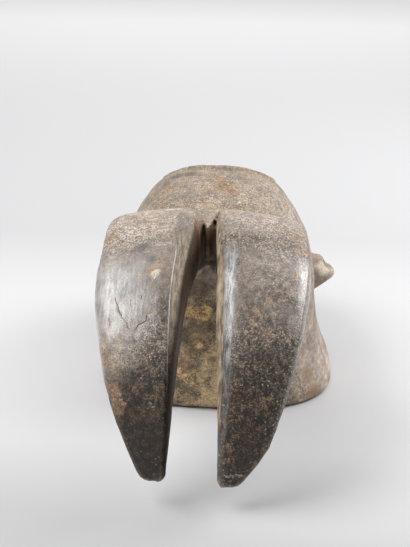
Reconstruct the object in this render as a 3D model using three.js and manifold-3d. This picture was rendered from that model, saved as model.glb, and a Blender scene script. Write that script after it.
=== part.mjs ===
// A horned face mask carved from one block of dark wood, lying face up on its back rim.
// Millimetres, +Z up. The crown and the horns point towards -Y, the chin towards +Y.
// The origin is on the plane of the back rim, under the middle of the bounding box.
import * as THREE from "three";
import { LoftGeometry } from "three/addons/geometries/LoftGeometry.js";
import { mergeVertices } from "three/addons/utils/BufferGeometryUtils.js";
import Module from "manifold-3d";

const wasm = await Module();
wasm.setup();

// Driving dimensions of the head. Y is measured from the crown's edge of the rim here,
// and the finished mask is moved to its own origin at the end.
const FACE_LENGTH = 250;
const HEAD_DEPTH = 158;
const RIM_HALF_WIDTH = 89;
const RIM_LEAN = 3; // the flared rim was carved a little to the right of the face
const RIM_LEAN_HEIGHT = 60;
const HEAD_SEGMENTS = 56;
const HEAD_RINGS = 22;
const HOLLOW_SEGMENTS = 36;
const HOLLOW_RINGS = 14;

// Driving dimensions of the horns
const ARC_RADIUS = 130; // of the outer face of both horns, seen from the side
const ARC_CENTRE_Y = -20;
const ARC_CENTRE_Z = 22;
const ROOT_ANGLE = -28; // degrees round the arc, where the horn is buried in the head
const CREST_ANGLE = -12; // where the horn ends in a crest, in front of the dome
const CREST_FALL = 8; // how far its top falls behind the crest
const HORN_STEPS = 25;
const HORN_FALL = 6.5; // how far the outer face slopes away towards the outer side
const HORN_CORNER = 7; // how far the corner between face and outer side is rounded
const HORN_HEEL = 10; // how deep the inner wall starts below the face

// Small helpers

const vec = (x, y, z) => new THREE.Vector3(x, y, z);
const plane = (points) => new THREE.SplineCurve(points.map(([a, b]) => new THREE.Vector2(a, b)));
const radians = THREE.MathUtils.degToRad;

// A closed three.js geometry as a solid that can be joined and cut.
function solid(geometry) {
  const bare = geometry.index ? geometry.toNonIndexed() : geometry.clone();
  bare.deleteAttribute("normal");
  bare.deleteAttribute("uv");
  const merged = mergeVertices(bare, 1e-4);
  return new wasm.Manifold(
    new wasm.Mesh({
      numProp: 3,
      vertProperties: merged.attributes.position.array,
      triVerts: new Uint32Array(merged.index.array),
    }),
  );
}

const centre = (ring) => ring.reduce((sum, p) => sum.add(p), vec(0, 0, 0)).divideScalar(ring.length);

// Rings of points skinned into one closed body. The rings are turned round when they run
// the wrong way, so that its faces look outward.
function loft(sections) {
  const hub = centre(sections[0]);
  const normal = vec(0, 0, 0);
  sections[0].forEach((p, i, ring) => {
    const next = ring[(i + 1) % ring.length].clone().sub(hub);
    normal.add(p.clone().sub(hub).cross(next));
  });
  const forward = centre(sections[1]).sub(hub);
  const rings = normal.dot(forward) > 0 ? sections : sections.map((ring) => [...ring].reverse());
  return solid(new LoftGeometry(rings, { capStart: true, capEnd: true }));
}

// A ball stretched to three radii.
function ellipsoid([x, y, z], [rx, ry, rz], segments) {
  const ball = new THREE.SphereGeometry(1, segments, segments / 2);
  return solid(ball.rotateX(Math.PI / 2).scale(rx, ry, rz).translate(x, y, z));
}

const mirrored = (body) => body.mirror([1, 0, 0]);
const pair = (body) => body.add(mirrored(body));

// The head: rings from the back rim up to the forehead.
// Each row is one height: the flank's [half width, z], the crown's [y, z] and the jaw's [y, z].
const HEAD_STATIONS = [
  [[RIM_HALF_WIDTH - 2.5, 0], [2.5, 0], [FACE_LENGTH - 2.5, 0]],
  [[RIM_HALF_WIDTH, 6], [-0.5, 6], [FACE_LENGTH, 7]],
  [[84.5, 18], [1.5, 18], [248, 20]],
  [[79.5, 34], [5, 34], [244, 40]],
  [[76.8, 55], [8, 56], [239, 62]],
  [[75.5, 78], [9.5, 80], [233, 82]],
  [[71.5, 100], [11, 102], [224, 98]],
  [[65, 116], [13, 118], [209, 109]],
  [[61, 124], [16, 128], [186, 114]],
  [[58.5, 129], [20, 135], [158, 117]],
  [[54.5, 135], [25, 141], [134, 122]],
  [[48.5, 143], [34, 147], [125, 137]],
  [[39, 151], [48, 152], [116, 148]],
  [[25, 156], [66, 156], [107, 154.5]],
  [[8, HEAD_DEPTH], [86, HEAD_DEPTH], [97, HEAD_DEPTH]],
];

// The hollow behind the face, in the same rows.
const HOLLOW_STATIONS = [
  [[79, -2], [12, -2], [239, -2]],
  [[77, 12], [14, 12], [236, 12]],
  [[70, 36], [19, 36], [231, 36]],
  [[66, 60], [22, 60], [226, 58]],
  [[63, 82], [26, 84], [217, 77]],
  [[57, 102], [33, 104], [203, 91]],
  [[48, 118], [43, 120], [182, 99]],
  [[34, 130], [56, 132], [152, 105]],
  [[18, 137], [70, 138], [124, 116]],
  [[4, 139.5], [88, 140], [98, 138]],
];

// The plan of a ring is boxy towards the crown and rounder towards the chin, and it is
// widest at a y that moves a little towards the chin with its height.
const CROWN_SQUARENESS = 2.6;
const CHIN_SQUARENESS = 2.05;
const WIDEST_AT_RIM = 76;
const WIDEST_AT_TOP = 92;

function bowl(stations, rings, segments) {
  const flank = plane(stations.map((row) => row[0]));
  const crown = plane(stations.map((row) => row[1]));
  const jaw = plane(stations.map((row) => row[2]));
  const sections = [];
  for (let i = 0; i <= rings; i++) {
    const t = i / rings;
    const side = flank.getPoint(t);
    const near = crown.getPoint(t);
    const far = jaw.getPoint(t);
    const widest = THREE.MathUtils.lerp(WIDEST_AT_RIM, WIDEST_AT_TOP, t);
    const ring = [];
    for (let j = 0; j < segments; j++) {
      const angle = (2 * Math.PI * j) / segments;
      const c = Math.cos(angle);
      const s = Math.sin(angle);
      const end = s < 0 ? near : far;
      const power = 2 / (s < 0 ? CROWN_SQUARENESS : CHIN_SQUARENESS);
      const x = side.x * Math.sign(c) * Math.abs(c) ** power;
      const y = widest + (end.x - widest) * Math.abs(s) ** power;
      const z = side.y * c * c + end.y * s * s;
      const lean = RIM_LEAN * Math.max(0, 1 - z / RIM_LEAN_HEIGHT);
      ring.push(vec(x + lean, y, z));
    }
    sections.push(ring);
  }
  return loft(sections);
}

// The horns: one section carried round an arc, wide at the crown and blunt at the tip.
// Each row gives the angle round the arc in degrees, then four distances from the middle
// (outer side, front edge, bevel, inner side) and the thickness. The two were carved by eye,
// so each horn has its own rows.
const LEFT_HORN = [
  [-28, 50, 16.5, 10.5, 5, 44],
  [-18, 62, 16, 10, 5, 44],
  [-8, 68.4, 15.5, 9.6, 5.2, 43],
  [8, 68.4, 15.2, 9.4, 6.4, 43],
  [17, 67.4, 15.8, 9.8, 7.8, 42],
  [25, 68, 17.4, 10.8, 8.8, 39.5],
  [34, 67.3, 18.4, 11.7, 9.6, 35.5],
  [42, 65.2, 18.7, 12, 10.4, 33],
  [50, 62, 17.6, 12.5, 11, 30],
  [58, 58.6, 16.6, 13.4, 12, 27.5],
  [68, 53, 16.2, 14.2, 13, 23.5],
  [76, 46.6, 16, 14.6, 14, 19.5],
  [83, 39.9, 16.4, 15.2, 15, 15.5],
  [89, 33.6, 16.9, 15.9, 15.7, 12],
  [91.4, 31, 17.4, 16.3, 16, 10.5],
];
const RIGHT_HORN = [
  [-28, 50, 8, 5.4, 4, 44],
  [-18, 60, 8.4, 5.7, 4, 44],
  [-9, 66, 9, 6.2, 4.2, 43],
  [8, 67.8, 12.6, 9.2, 6.4, 43],
  [17, 68.8, 14.6, 10.9, 7.8, 42],
  [25, 68.6, 19.6, 13, 8.8, 39.5],
  [34, 67.8, 22.2, 15.2, 9.8, 35.5],
  [44, 65.5, 23, 16.4, 10.9, 32],
  [54, 62.2, 22.8, 17, 12.1, 29],
  [64, 57.5, 22, 17.4, 13.2, 25],
  [69, 54.8, 21, 17, 13.6, 23],
  [75, 51, 18.4, 16.2, 14.1, 20],
  [81, 46.2, 17, 15.6, 14.5, 16.5],
  [87, 38.4, 16.8, 15.6, 15, 13],
  [92.4, 29.6, 17.4, 16, 15.4, 10],
];

// The values of one row between two stations, on a cubic that keeps the slope at each station,
// so that the horn has no corner there.
function between(stations, angle) {
  const last = stations.length - 1;
  let i = 0;
  while (i < last - 1 && angle > stations[i + 1][0]) i++;
  const before = stations[Math.max(i - 1, 0)];
  const from = stations[i];
  const to = stations[i + 1];
  const after = stations[Math.min(i + 2, last)];
  const span = to[0] - from[0];
  const u = (angle - from[0]) / span;
  return [1, 2, 3, 4, 5].map((k) => {
    const slopeFrom = ((to[k] - before[k]) / (to[0] - before[0])) * span;
    const slopeTo = ((after[k] - from[k]) / (after[0] - from[0])) * span;
    const h00 = 2 * u ** 3 - 3 * u ** 2 + 1;
    const h10 = u ** 3 - 2 * u ** 2 + u;
    const h01 = -2 * u ** 3 + 3 * u ** 2;
    const h11 = u ** 3 - u ** 2;
    return h00 * from[k] + h10 * slopeFrom + h01 * to[k] + h11 * slopeTo;
  });
}

// One ring of a horn: points are [across, depth below the outer face], from the front edge
// over the face, the outer side, the underside and the inner side back to the bevel.
// The inset draws the ring in towards its own middle.
function hornSection(stations, angle, inset) {
  const [outer, edge, bevel, inner, thick] = between(stations, angle);
  const width = outer - edge;
  const round = Math.min(HORN_CORNER, thick * 0.25, width * 0.25);
  const fall = Math.min(HORN_FALL, thick * 0.16);
  const bevelDepth = Math.min(THREE.MathUtils.clamp(2.6 + angle * 0.06, 1.8, 4.2), thick * 0.28);
  const points = [
    [edge, 0.6],
    [edge + width * 0.12, 0.1],
    [edge + width * 0.35, fall * 0.28],
    [edge + width * 0.6, fall * 0.55],
    [outer - round * 1.6, fall * 0.82],
    [outer - round * 0.8, fall + round * 0.1],
    [outer - round * 0.25, fall + round * 0.5],
    [outer, fall + round * 1.15],
    [outer, thick * 0.66],
    [outer - round * 0.4, thick * 0.88],
    [outer - round * 1.3, thick * 0.98],
    [outer - width * 0.45, thick],
    [edge + width * 0.15, thick],
    [inner + 1.5, thick * 0.97],
    [inner, thick * 0.86],
    [inner, Math.min(HORN_HEEL, thick * 0.5)],
    [bevel, bevelDepth],
  ];
  const a = radians(angle);
  const middle = (outer + inner) / 2;
  const crest = ARC_RADIUS - CREST_FALL * THREE.MathUtils.smoothstep(CREST_ANGLE - angle, 0, 14);
  return points.map(([across, depth]) => {
    const x = THREE.MathUtils.lerp(across, middle, inset);
    const r = crest - THREE.MathUtils.lerp(depth, thick / 2, inset);
    return vec(x, ARC_CENTRE_Y - r * Math.sin(a), ARC_CENTRE_Z + r * Math.cos(a));
  });
}

// The tip is blunt: its last ring is drawn in to round the end.
const TIP_ROUNDING_ANGLE = 1.2;
const TIP_INSET = 0.16;

function horn(stations) {
  const tip = stations[stations.length - 1][0];
  const sections = [];
  for (let i = 0; i < HORN_STEPS; i++) {
    const share = i / (HORN_STEPS - 1);
    const angle = THREE.MathUtils.lerp(ROOT_ANGLE, tip - TIP_ROUNDING_ANGLE, share);
    sections.push(hornSection(stations, angle, 0));
  }
  sections.push(hornSection(stations, tip, TIP_INSET));
  return loft(sections);
}

// The pointed ledge left between the two horns where they leave the crown.
// Each row is [y, left edge, right edge, top, underside], and it narrows downwards.
const KEEL_NARROWING = 0.5;
const KEEL = [
  [30, -12, 6, 143.5, 94],
  [20, -10.4, 3.6, 143, 97],
  [12, -8, 2.6, 142.6, 101],
  [-5, -3.6, 1.8, 142.3, 116],
  [-20, -1, -0.3, 142, 138],
];

function keel() {
  return loft(
    KEEL.map(([y, left, right, top, low]) => {
      const middle = (left + right) / 2;
      const foot = ((right - left) / 2) * KEEL_NARROWING;
      const ledge = [vec(left, y, top), vec(right, y, top)];
      return [...ledge, vec(middle + foot, y, low), vec(middle - foot, y, low)];
    }),
  );
}

// Below the top of the ledge a web joins the two horns, with an arch cut into its lower edge.
const WEB_HALF_WIDTH = 9;
const WEB_TOP = 137;
const WEB_ARCH_TOP = 110;
const WEB_ARCH_FOOT = 102;
const WEB_ARCH_HALF_WIDTH = 3;
const WEB_ENDS = [30, -3];

function web() {
  return loft(
    WEB_ENDS.map((y) => [
      vec(-WEB_HALF_WIDTH, y, WEB_TOP),
      vec(WEB_HALF_WIDTH, y, WEB_TOP),
      vec(WEB_HALF_WIDTH, y, WEB_ARCH_FOOT),
      vec(WEB_ARCH_HALF_WIDTH, y, WEB_ARCH_TOP),
      vec(-WEB_ARCH_HALF_WIDTH, y, WEB_ARCH_TOP),
      vec(-WEB_HALF_WIDTH, y, WEB_ARCH_FOOT),
    ]),
  );
}

// The features of the face

// A raised band that runs across the forehead where the hair begins, with a worn notch.
const BAND_HALF_LENGTH = 43;
const BAND_Y = 91;
const BAND_SWEEP = 9; // how far its ends are drawn towards the face
const BAND_DROP = 12.2; // how far its ends lie below its middle
const BAND_HALF_WIDTH = 5.5;
const BAND_HALF_HEIGHT = 2.4;
const BAND_STEPS = 12;
const BAND_SIDES = 8;
const NOTCH_SIZE = 3.6;
const NOTCH_PLACE = [-8, BAND_Y, 161];
const NOTCH_TURN = 12; // degrees

function hairline() {
  const sections = [];
  for (let i = 0; i <= BAND_STEPS; i++) {
    const across = THREE.MathUtils.lerp(-BAND_HALF_LENGTH, BAND_HALF_LENGTH, i / BAND_STEPS);
    const share = Math.abs(across) / BAND_HALF_LENGTH;
    const y = BAND_Y + BAND_SWEEP * share ** 2;
    const z = HEAD_DEPTH - BAND_DROP * share ** 2.45;
    const ring = [];
    for (let j = 0; j < BAND_SIDES; j++) {
      const a = (2 * Math.PI * (j + 0.5)) / BAND_SIDES;
      ring.push(vec(across, y + BAND_HALF_WIDTH * Math.cos(a), z + BAND_HALF_HEIGHT * Math.sin(a)));
    }
    sections.push(ring);
  }
  const notch = new THREE.BoxGeometry(NOTCH_SIZE, 30, NOTCH_SIZE).rotateY(Math.PI / 4);
  notch.rotateZ(radians(NOTCH_TURN)).translate(...NOTCH_PLACE);
  return loft(sections).subtract(solid(notch));
}

// The face is a relief over the front of the head: the height above every point of its oval
// is worked out from the forehead down, as a carver would block it. Its features come in
// mirrored pairs or lie on the middle line, so x is counted outward from the middle.
const NOSE_TIP_Y = 171;
const FACE_FLOOR = 98;
const CHEEK_DROP = 13; // how far the edge of the oval lies below the middle
const LID = { x: 27, y: 147, rx: 15.5, ry: 7.4, height: 5.4 };
const LIPS = { y: 194, gap: 4, width: 15, fade: 8 };
const BROW_RIM = { width: 3.4, height: 3.2 };

// Soft swellings and hollows, each with its middle, its reach and its height.
const EYE_SOCKET = { x: 27, y: 139, rx: 16, ry: 7, height: -5.5 };
const CHEEKBONE = { x: 30, y: 171, rx: 14, ry: 13, height: 2.6 };
const MUZZLE = { x: 0, y: LIPS.y, rx: 14, ry: 9.5, height: 5.5 };
const UPPER_LIP = { x: 0, y: LIPS.y - LIPS.gap, rx: 1, ry: 2.5, height: 2.8 };
const LOWER_LIP = { x: 0, y: LIPS.y + LIPS.gap, rx: 1, ry: 2.6, height: 2.6 };
const CHIN = { x: 0, y: 213.5, rx: 11, ry: 5.5, height: 3.4 };
const NOSTRIL = { x: 7.6, y: NOSE_TIP_Y + 2.5, rx: 3.2, ry: 4.2, height: 5 };

const swelling = ({ x, y, rx, ry, height }, atX, atY) =>
  height * Math.exp(-(((atX - x) / rx) ** 2) - ((atY - y) / ry) ** 2);

// A line through [t, value] points: straight between them, or level at each and eased between.
const segment = (points, t) => {
  let i = 0;
  while (i < points.length - 2 && t > points[i + 1][0]) i++;
  return [points[i], points[i + 1]];
};
const straight = (points) => (t) => {
  const [from, to] = segment(points, t);
  const share = THREE.MathUtils.clamp((t - from[0]) / (to[0] - from[0]), 0, 1);
  return THREE.MathUtils.lerp(from[1], to[1], share);
};
const eased = (points) => (t) => {
  const [from, to] = segment(points, t);
  return THREE.MathUtils.lerp(from[1], to[1], THREE.MathUtils.smoothstep(t, from[0], to[0]));
};

// Half the width of the face and its height down the middle, against y.
const faceHalfWidth = straight([
  [110, 46], [125, 51], [140, 53], [155, 52.5], [170, 50], [185, 45], [200, 37.5], [210, 31],
  [218, 24], [224, 17], [229, 9],
]);
const middleHeight = straight([
  [110, 134], [134, 129.5], [142, 127.5], [155, 127], [170, 127], [182, 126], [193, 124],
  [203, 120.5], [211, 116], [218, 110], [223, 104], [227, 95], [229, 86],
]);
// The arch of the brow, from the bridge of the nose to the temple, and its height.
const browLine = straight([
  [0, 131.5], [3, 130], [9, 125.5], [16, 122], [24, 120.6], [32, 121.4], [40, 124.5],
  [47, 129.5], [53, 136],
]);
const browHeight = straight([
  [0, 143], [8, 145.5], [24, 145.5], [32, 142.8], [40, 136.5], [47, 129], [53, 120],
]);
// The ridge of the nose above the face, and half its width.
const noseHeight = eased([
  [126, 2], [134, 8], [NOSE_TIP_Y - 1, 12.4], [NOSE_TIP_Y + 3, 11.4], [NOSE_TIP_Y + 9, 0],
]);
const noseHalfWidth = straight([[126, 3.4], [145, 4.4], [160, 6.2], [NOSE_TIP_Y, 9.6], [180, 9.6]]);

function faceHeight(x, y) {
  const side = Math.abs(x);
  let z = middleHeight(y) - CHEEK_DROP * (side / faceHalfWidth(y)) ** 4;
  for (const form of [EYE_SOCKET, CHEEKBONE, MUZZLE, CHIN, NOSTRIL]) z += swelling(form, side, y);

  const lid = 1 - ((side - LID.x) / LID.rx) ** 2 - ((y - LID.y) / LID.ry) ** 2;
  z += LID.height * Math.sqrt(Math.max(lid, 0));

  const lips = THREE.MathUtils.smoothstep(LIPS.width - side, 0, LIPS.fade);
  z += lips * (swelling(UPPER_LIP, 0, y) + swelling(LOWER_LIP, 0, y));

  const nose = noseHalfWidth(y);
  z += noseHeight(y) * Math.max(0, 1 - (side / (1.45 * nose)) ** 2.4);

  // Above the brow line the forehead covers the face, and below it the forehead dies out.
  const below = y - browLine(side);
  const brow = browHeight(side) + BROW_RIM.height * Math.exp(-((below / BROW_RIM.width) ** 2));
  return THREE.MathUtils.lerp(Math.max(brow, z), z, THREE.MathUtils.smoothstep(below, -0.5, 8.5));
}

// Where the relief is sampled: closer at the eyes, the nose and the mouth.
const FACE_ROWS = [
  111, 114, 117, 119.5, 122, 124, 126, 128, 130, 132.5, 135, 138, 141, 143.5, 146, 148.5, 151,
  153.5, 157, 161, 165, 168.5, 171.5, 174, 176.5, 179, 181.5, 184.5, 187.5, 189.7, 191.7, 193.4,
  194.6, 196.3, 198.3, 200.5, 204, 208, 212, 216, 220, 224, 229,
];
const FACE_COLUMNS = [
  0, 0.045, 0.09, 0.135, 0.18, 0.23, 0.29, 0.36, 0.43, 0.5, 0.58, 0.66, 0.74, 0.82, 0.91, 1,
];

function face() {
  const otherHalf = FACE_COLUMNS.slice(1).reverse();
  const shares = [...otherHalf.map((share) => -share), ...FACE_COLUMNS];
  return loft(
    FACE_ROWS.map((y) => {
      const width = faceHalfWidth(y);
      const top = shares.map((share) => vec(share * width, y, faceHeight(share * width, y)));
      const floor = Math.min(FACE_FLOOR, faceHeight(width, y) - 4);
      return [vec(-width, y, floor), ...top, vec(width, y, floor)];
    }),
  );
}

// The slits of the half-closed eyes go right through the mask.
const SLIT_HALF_LENGTH = 12.5;
const SLIT_CORNER = 0.6;
const SLIT_UPPER = -3.6; // how far the pull of the upper and the lower curve reaches
const SLIT_LOWER = 4.2;

function slit() {
  const shape = new THREE.Shape();
  shape.moveTo(-SLIT_HALF_LENGTH, SLIT_CORNER);
  shape.quadraticCurveTo(0, SLIT_UPPER, SLIT_HALF_LENGTH, SLIT_CORNER);
  shape.quadraticCurveTo(0, SLIT_LOWER, -SLIT_HALF_LENGTH, SLIT_CORNER);
  const cut = new THREE.ExtrudeGeometry(shape, { depth: 70, bevelEnabled: false, curveSegments: 6 });
  return solid(cut.translate(LID.x, LID.y + 1, 82));
}

// An ear: a half moon on the flank with two lips and a hollow between them.
// The section across its middle is given as [x, z].
const EAR_CENTRE = [72, 103, 76];
const EAR_HALF_LENGTH = 18;
const EAR_STEPS = 10;
const EAR_END = 0.97; // where its ends are cut off, as a share of its half length
const EAR_SECTION = [
  [68, 90], [80.5, 88], [85, 84.5], [86.5, 81], [90.5, 78.8], [92.2, 75.8], [90.3, 72], [79, 63],
  [68, 60],
];
const EAR_HOLLOW_CENTRE = [88, 104, 83];
const EAR_HOLLOW_RADII = [6.5, 11, 4.5];

function ear() {
  const [cx, cy, cz] = EAR_CENTRE;
  const sections = [];
  for (let i = 0; i <= EAR_STEPS; i++) {
    const share = THREE.MathUtils.lerp(-EAR_END, EAR_END, i / EAR_STEPS);
    const size = Math.sqrt(1 - share ** 2);
    const y = cy + share * EAR_HALF_LENGTH;
    sections.push(EAR_SECTION.map(([x, z]) => vec(cx + (x - cx) * size, y, cz + (z - cz) * size)));
  }
  return loft(sections).subtract(ellipsoid(EAR_HOLLOW_CENTRE, EAR_HOLLOW_RADII, 14));
}

// Assembly: everything is one piece of wood

const wood = new THREE.MeshStandardMaterial({ color: 0x7d7268, roughness: 0.62, metalness: 0 });

const outside = bowl(HEAD_STATIONS, HEAD_RINGS, HEAD_SEGMENTS)
  .add(face())
  .add(hairline())
  .add(pair(ear()))
  .add(horn(RIGHT_HORN))
  .add(mirrored(horn(LEFT_HORN)))
  .add(keel())
  .add(web());
const hollow = bowl(HOLLOW_STATIONS, HOLLOW_RINGS, HOLLOW_SEGMENTS);
const carved = outside.subtract(hollow).subtract(pair(slit()));

function toGeometry(body) {
  const { vertProperties, triVerts } = body.getMesh();
  const geometry = new THREE.BufferGeometry();
  geometry.setAttribute("position", new THREE.BufferAttribute(vertProperties, 3));
  geometry.setIndex(new THREE.BufferAttribute(triVerts, 1));
  return geometry;
}

const geometry = toGeometry(carved);
geometry.computeBoundingBox();
const middle = geometry.boundingBox.getCenter(vec(0, 0, 0));
geometry.translate(-middle.x, -middle.y, -geometry.boundingBox.min.z);

const mask = new THREE.Mesh(geometry, wood);
mask.name = "mask";

const group = new THREE.Group();
group.add(mask);
export default group;
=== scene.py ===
# %% [markdown]
# # A horned face mask, lying on its back
# The real mask is one block of dense African wood. A carver hewed it with an adze, thinned
# the horns with a knife, blackened it over a fire, and many hands then wore it smooth. This
# lesson takes the measured solid of that mask and gives it the softness of handled wood,
# its cracks, and a finish that runs from dusty tan on top to sooty black at the horn tips.

# %% Load the measured solid
import math

import bmesh
import bpy
import numpy as np
from mathutils import Matrix, Vector
from mathutils.bvhtree import BVHTree


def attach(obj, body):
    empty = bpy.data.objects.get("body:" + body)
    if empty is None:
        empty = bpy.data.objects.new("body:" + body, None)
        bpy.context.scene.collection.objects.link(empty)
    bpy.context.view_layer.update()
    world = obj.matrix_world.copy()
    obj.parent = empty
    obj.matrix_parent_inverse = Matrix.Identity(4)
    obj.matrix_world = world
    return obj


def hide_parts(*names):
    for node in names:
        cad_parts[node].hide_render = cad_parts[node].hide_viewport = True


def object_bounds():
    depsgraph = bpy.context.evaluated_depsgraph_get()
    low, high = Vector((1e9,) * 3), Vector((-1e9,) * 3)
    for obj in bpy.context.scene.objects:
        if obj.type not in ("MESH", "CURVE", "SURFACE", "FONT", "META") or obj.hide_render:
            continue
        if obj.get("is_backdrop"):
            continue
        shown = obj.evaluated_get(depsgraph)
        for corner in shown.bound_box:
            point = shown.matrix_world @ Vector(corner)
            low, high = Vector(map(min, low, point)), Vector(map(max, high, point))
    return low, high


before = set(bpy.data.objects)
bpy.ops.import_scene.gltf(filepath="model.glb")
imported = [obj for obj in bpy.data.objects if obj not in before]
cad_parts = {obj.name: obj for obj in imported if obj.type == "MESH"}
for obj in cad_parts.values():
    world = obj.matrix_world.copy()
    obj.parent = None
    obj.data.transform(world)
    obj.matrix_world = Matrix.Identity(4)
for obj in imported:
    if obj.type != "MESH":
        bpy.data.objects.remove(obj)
solid_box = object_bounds()
LOW, HIGH = np.array(solid_box[0]), np.array(solid_box[1])
print("solid box in mm", (LOW * 1000).round(1), (HIGH * 1000).round(1))

# %% [markdown]
# ## The camera
# The picture was taken from above the crown with a fairly long lens, so the horns come
# towards us and hide the face. A camera is placed by where it stands and by three turns:
# down towards the table, a little to the left, and a slight tilt of the horizon.

# %% Place the camera
CAMERA_PLACE = (0.04683, -0.84388, 0.362)
LOOK_DOWN, LOOK_LEFT, TILT = math.radians(18), math.radians(3.6), math.radians(1.0)
SENSOR_MM, LENS_MM = 36, 78.98
IMAGE_SIZE = (410, 547)
bpy.ops.object.select_all(action="DESELECT")
bpy.ops.object.camera_add(location=CAMERA_PLACE)
camera = bpy.context.object
camera.name = "camera"
camera.data.sensor_width = SENSOR_MM
camera.data.lens = LENS_MM
turned = (
    Matrix.Rotation(LOOK_LEFT, 4, "Z")
    @ Matrix.Rotation(math.pi / 2 - LOOK_DOWN, 4, "X")
    @ Matrix.Rotation(TILT, 4, "Z")
)
camera.rotation_euler = turned.to_euler()
bpy.context.scene.camera = camera
bpy.context.view_layer.update()
print("camera looks along", [round(v, 3) for v in camera.matrix_world.to_3x3() @ Vector((0, 0, -1))])

# %% [markdown]
# ## Nodes, with one small helper
# Every finish below is a small web of nodes. The helper adds one node, sets it up, joins
# its inputs and hands back its output, so that a finish reads like a recipe. Inputs in a
# list go to the node's sockets in order, and in a dictionary they go by name. So a Map
# Range reads value, from, to and then the two values it gives. Colours are written as on a
# paint card, in hex, and turned into the linear values that light needs.

# %% Colour and node helpers
def paint(code):
    values = [int(code[i : i + 2], 16) / 255 for i in (1, 3, 5)]
    return [v / 12.92 if v <= 0.04045 else ((v + 0.055) / 1.055) ** 2.4 for v in values] + [1]


def add(tree, kind, inputs=(), out=None, stops=None, **settings):
    node = tree.nodes.new("ShaderNode" + kind)
    for name, value in settings.items():
        setattr(node, name, value)
    if stops:
        while len(node.color_ramp.elements) < len(stops):
            node.color_ramp.elements.new(0.5)
        for element, (place, colour) in zip(node.color_ramp.elements, stops):
            element.position, element.color = place, paint(colour)
    ready = [socket for socket in node.inputs if socket.enabled]
    given = inputs.items() if isinstance(inputs, dict) else enumerate(inputs)
    for key, value in given:
        socket = ready[key] if isinstance(key, int) else next(s for s in ready if s.name == key)
        if isinstance(value, bpy.types.NodeSocket):
            tree.links.new(value, socket)
        else:
            socket.default_value = value
    shown = [socket for socket in node.outputs if socket.enabled]
    return next((s for s in shown if s.name == out), shown[0])


print("paint('#808080') is", round(paint("#808080")[0], 3), "in linear light")

# %% [markdown]
# ## The table
# A studio photographer would lay the mask on a sheet of white paper, wide enough to fill
# the picture. In the picture it grows lighter far behind the mask, where a lamp shines on
# it. That light is painted into the paper's tone and read off its depth: darker near the
# camera and lighter far behind.

# %% White paper
# painted light: the white paper's tone follows the lamp's falloff along its depth
PAPER_PAINTED_LIGHT = [(0.085, "#ababac"), (0.13, "#cbcbcc"), (0.3, "#b6b6b7"), (1, "#f2f2f3")]
bpy.ops.mesh.primitive_plane_add(size=14, location=(0, 0, 0))
table = bpy.context.object
table.name = "paper_table"
paper = bpy.data.materials.new("white_paper")
paper.use_nodes = True
tree = paper.node_tree
shader = tree.nodes["Principled BSDF"]
place = add(tree, "TexCoord", out="Object")
depth = add(tree, "SeparateXYZ", [place], out="Y")
share = add(tree, "MapRange", [depth, -0.5, 2.5])
tone = add(tree, "ValToRGB", [share], stops=PAPER_PAINTED_LIGHT)
tree.links.new(tone, shader.inputs["Base Color"])
shader.inputs["Roughness"].default_value = 0.9
shader.inputs["Specular IOR Level"].default_value = 0.2
table.data.materials.append(paper)
table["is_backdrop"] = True
print("paper", [round(side, 1) for side in table.dimensions[:2]], "m")

# %% [markdown]
# ## The light
# Large soft boxes light it: one on each side, whose long reflections draw the polished
# edges of the horns, and one behind for the paper. The room is bright above and behind,
# and dimmer on the camera's side, so that the fronts of the horns keep their depth.

# %% Soft boxes
def softbox(name, place, aim, size, power):
    bpy.ops.object.light_add(type="AREA", location=place)
    lamp = bpy.context.object
    lamp.name = name
    lamp.data.shape = "RECTANGLE"
    lamp.data.size, lamp.data.size_y = size
    lamp.data.energy = power
    lamp.rotation_euler = (Vector(place) - Vector(aim)).to_track_quat("Z", "Y").to_euler()
    print(name, "of", power, "W")


softbox("left_box", (-0.82, -0.32, 1.15), (-0.07, -0.16, 0.12), (1.0, 0.75), 17)
softbox("right_box", (1.02, 0.35, 0.85), (0.06, -0.14, 0.12), (0.8, 0.8), 16)
softbox("back_box", (0, 2.1, 1.9), (0, 1.6, 0), (3.0, 1.2), 20)

# %% The room around the table
ROOM_TONES = [(0, "#3c3c3e"), (0.4, "#a4a4a6"), (1, "#ffffff")]
UP_AND_BACK = (0, 0.6, 0.6)
studio = bpy.data.worlds.new("pale_studio")
studio.use_nodes = True
tree = studio.node_tree
way = add(tree, "TexCoord", out="Generated")
lit = add(tree, "VectorMath", [way, UP_AND_BACK], operation="DOT_PRODUCT", out="Value")
share = add(tree, "MapRange", [lit, -0.5, 0.6])
room = add(tree, "ValToRGB", [share], stops=ROOM_TONES)
tree.links.new(room, tree.nodes["Background"].inputs["Color"])
tree.nodes["Background"].inputs["Strength"].default_value = 0.8
bpy.context.scene.world = studio
bpy.context.scene.view_settings.view_transform = "Standard"
print(len(tree.nodes), "nodes in the room")

# %% [markdown]
# ## The mask's own mesh
# The measured solid has large flat faces. A copy of it is rebuilt as an even skin of small
# faces, close enough for knife-sharp edges to survive, and then softened as a hand would:
# the broad faces a lot, the sharp edges and the fine features of the face only a little.

# %% Copy the solid and give it an even skin
SKIN = 0.001


def activate(piece):
    bpy.ops.object.select_all(action="DESELECT")
    piece.select_set(True)
    bpy.context.view_layer.objects.active = piece


def finish_with(piece, kind, **settings):
    activate(piece)
    step = piece.modifiers.new(kind.lower(), kind)
    for name, value in settings.items():
        setattr(step, name, value)
    bpy.ops.object.modifier_apply(modifier=step.name)


mask = bpy.data.objects.new("carved_mask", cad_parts["mask"].data.copy())
bpy.context.collection.objects.link(mask)
activate(mask)
bpy.ops.object.mode_set(mode="EDIT")
bpy.ops.mesh.select_all(action="SELECT")
bpy.ops.mesh.remove_doubles(threshold=0.00002)
bpy.ops.object.mode_set(mode="OBJECT")
finish_with(mask, "REMESH", mode="VOXEL", voxel_size=SKIN)
print("skin of", len(mask.data.vertices), "points")

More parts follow.
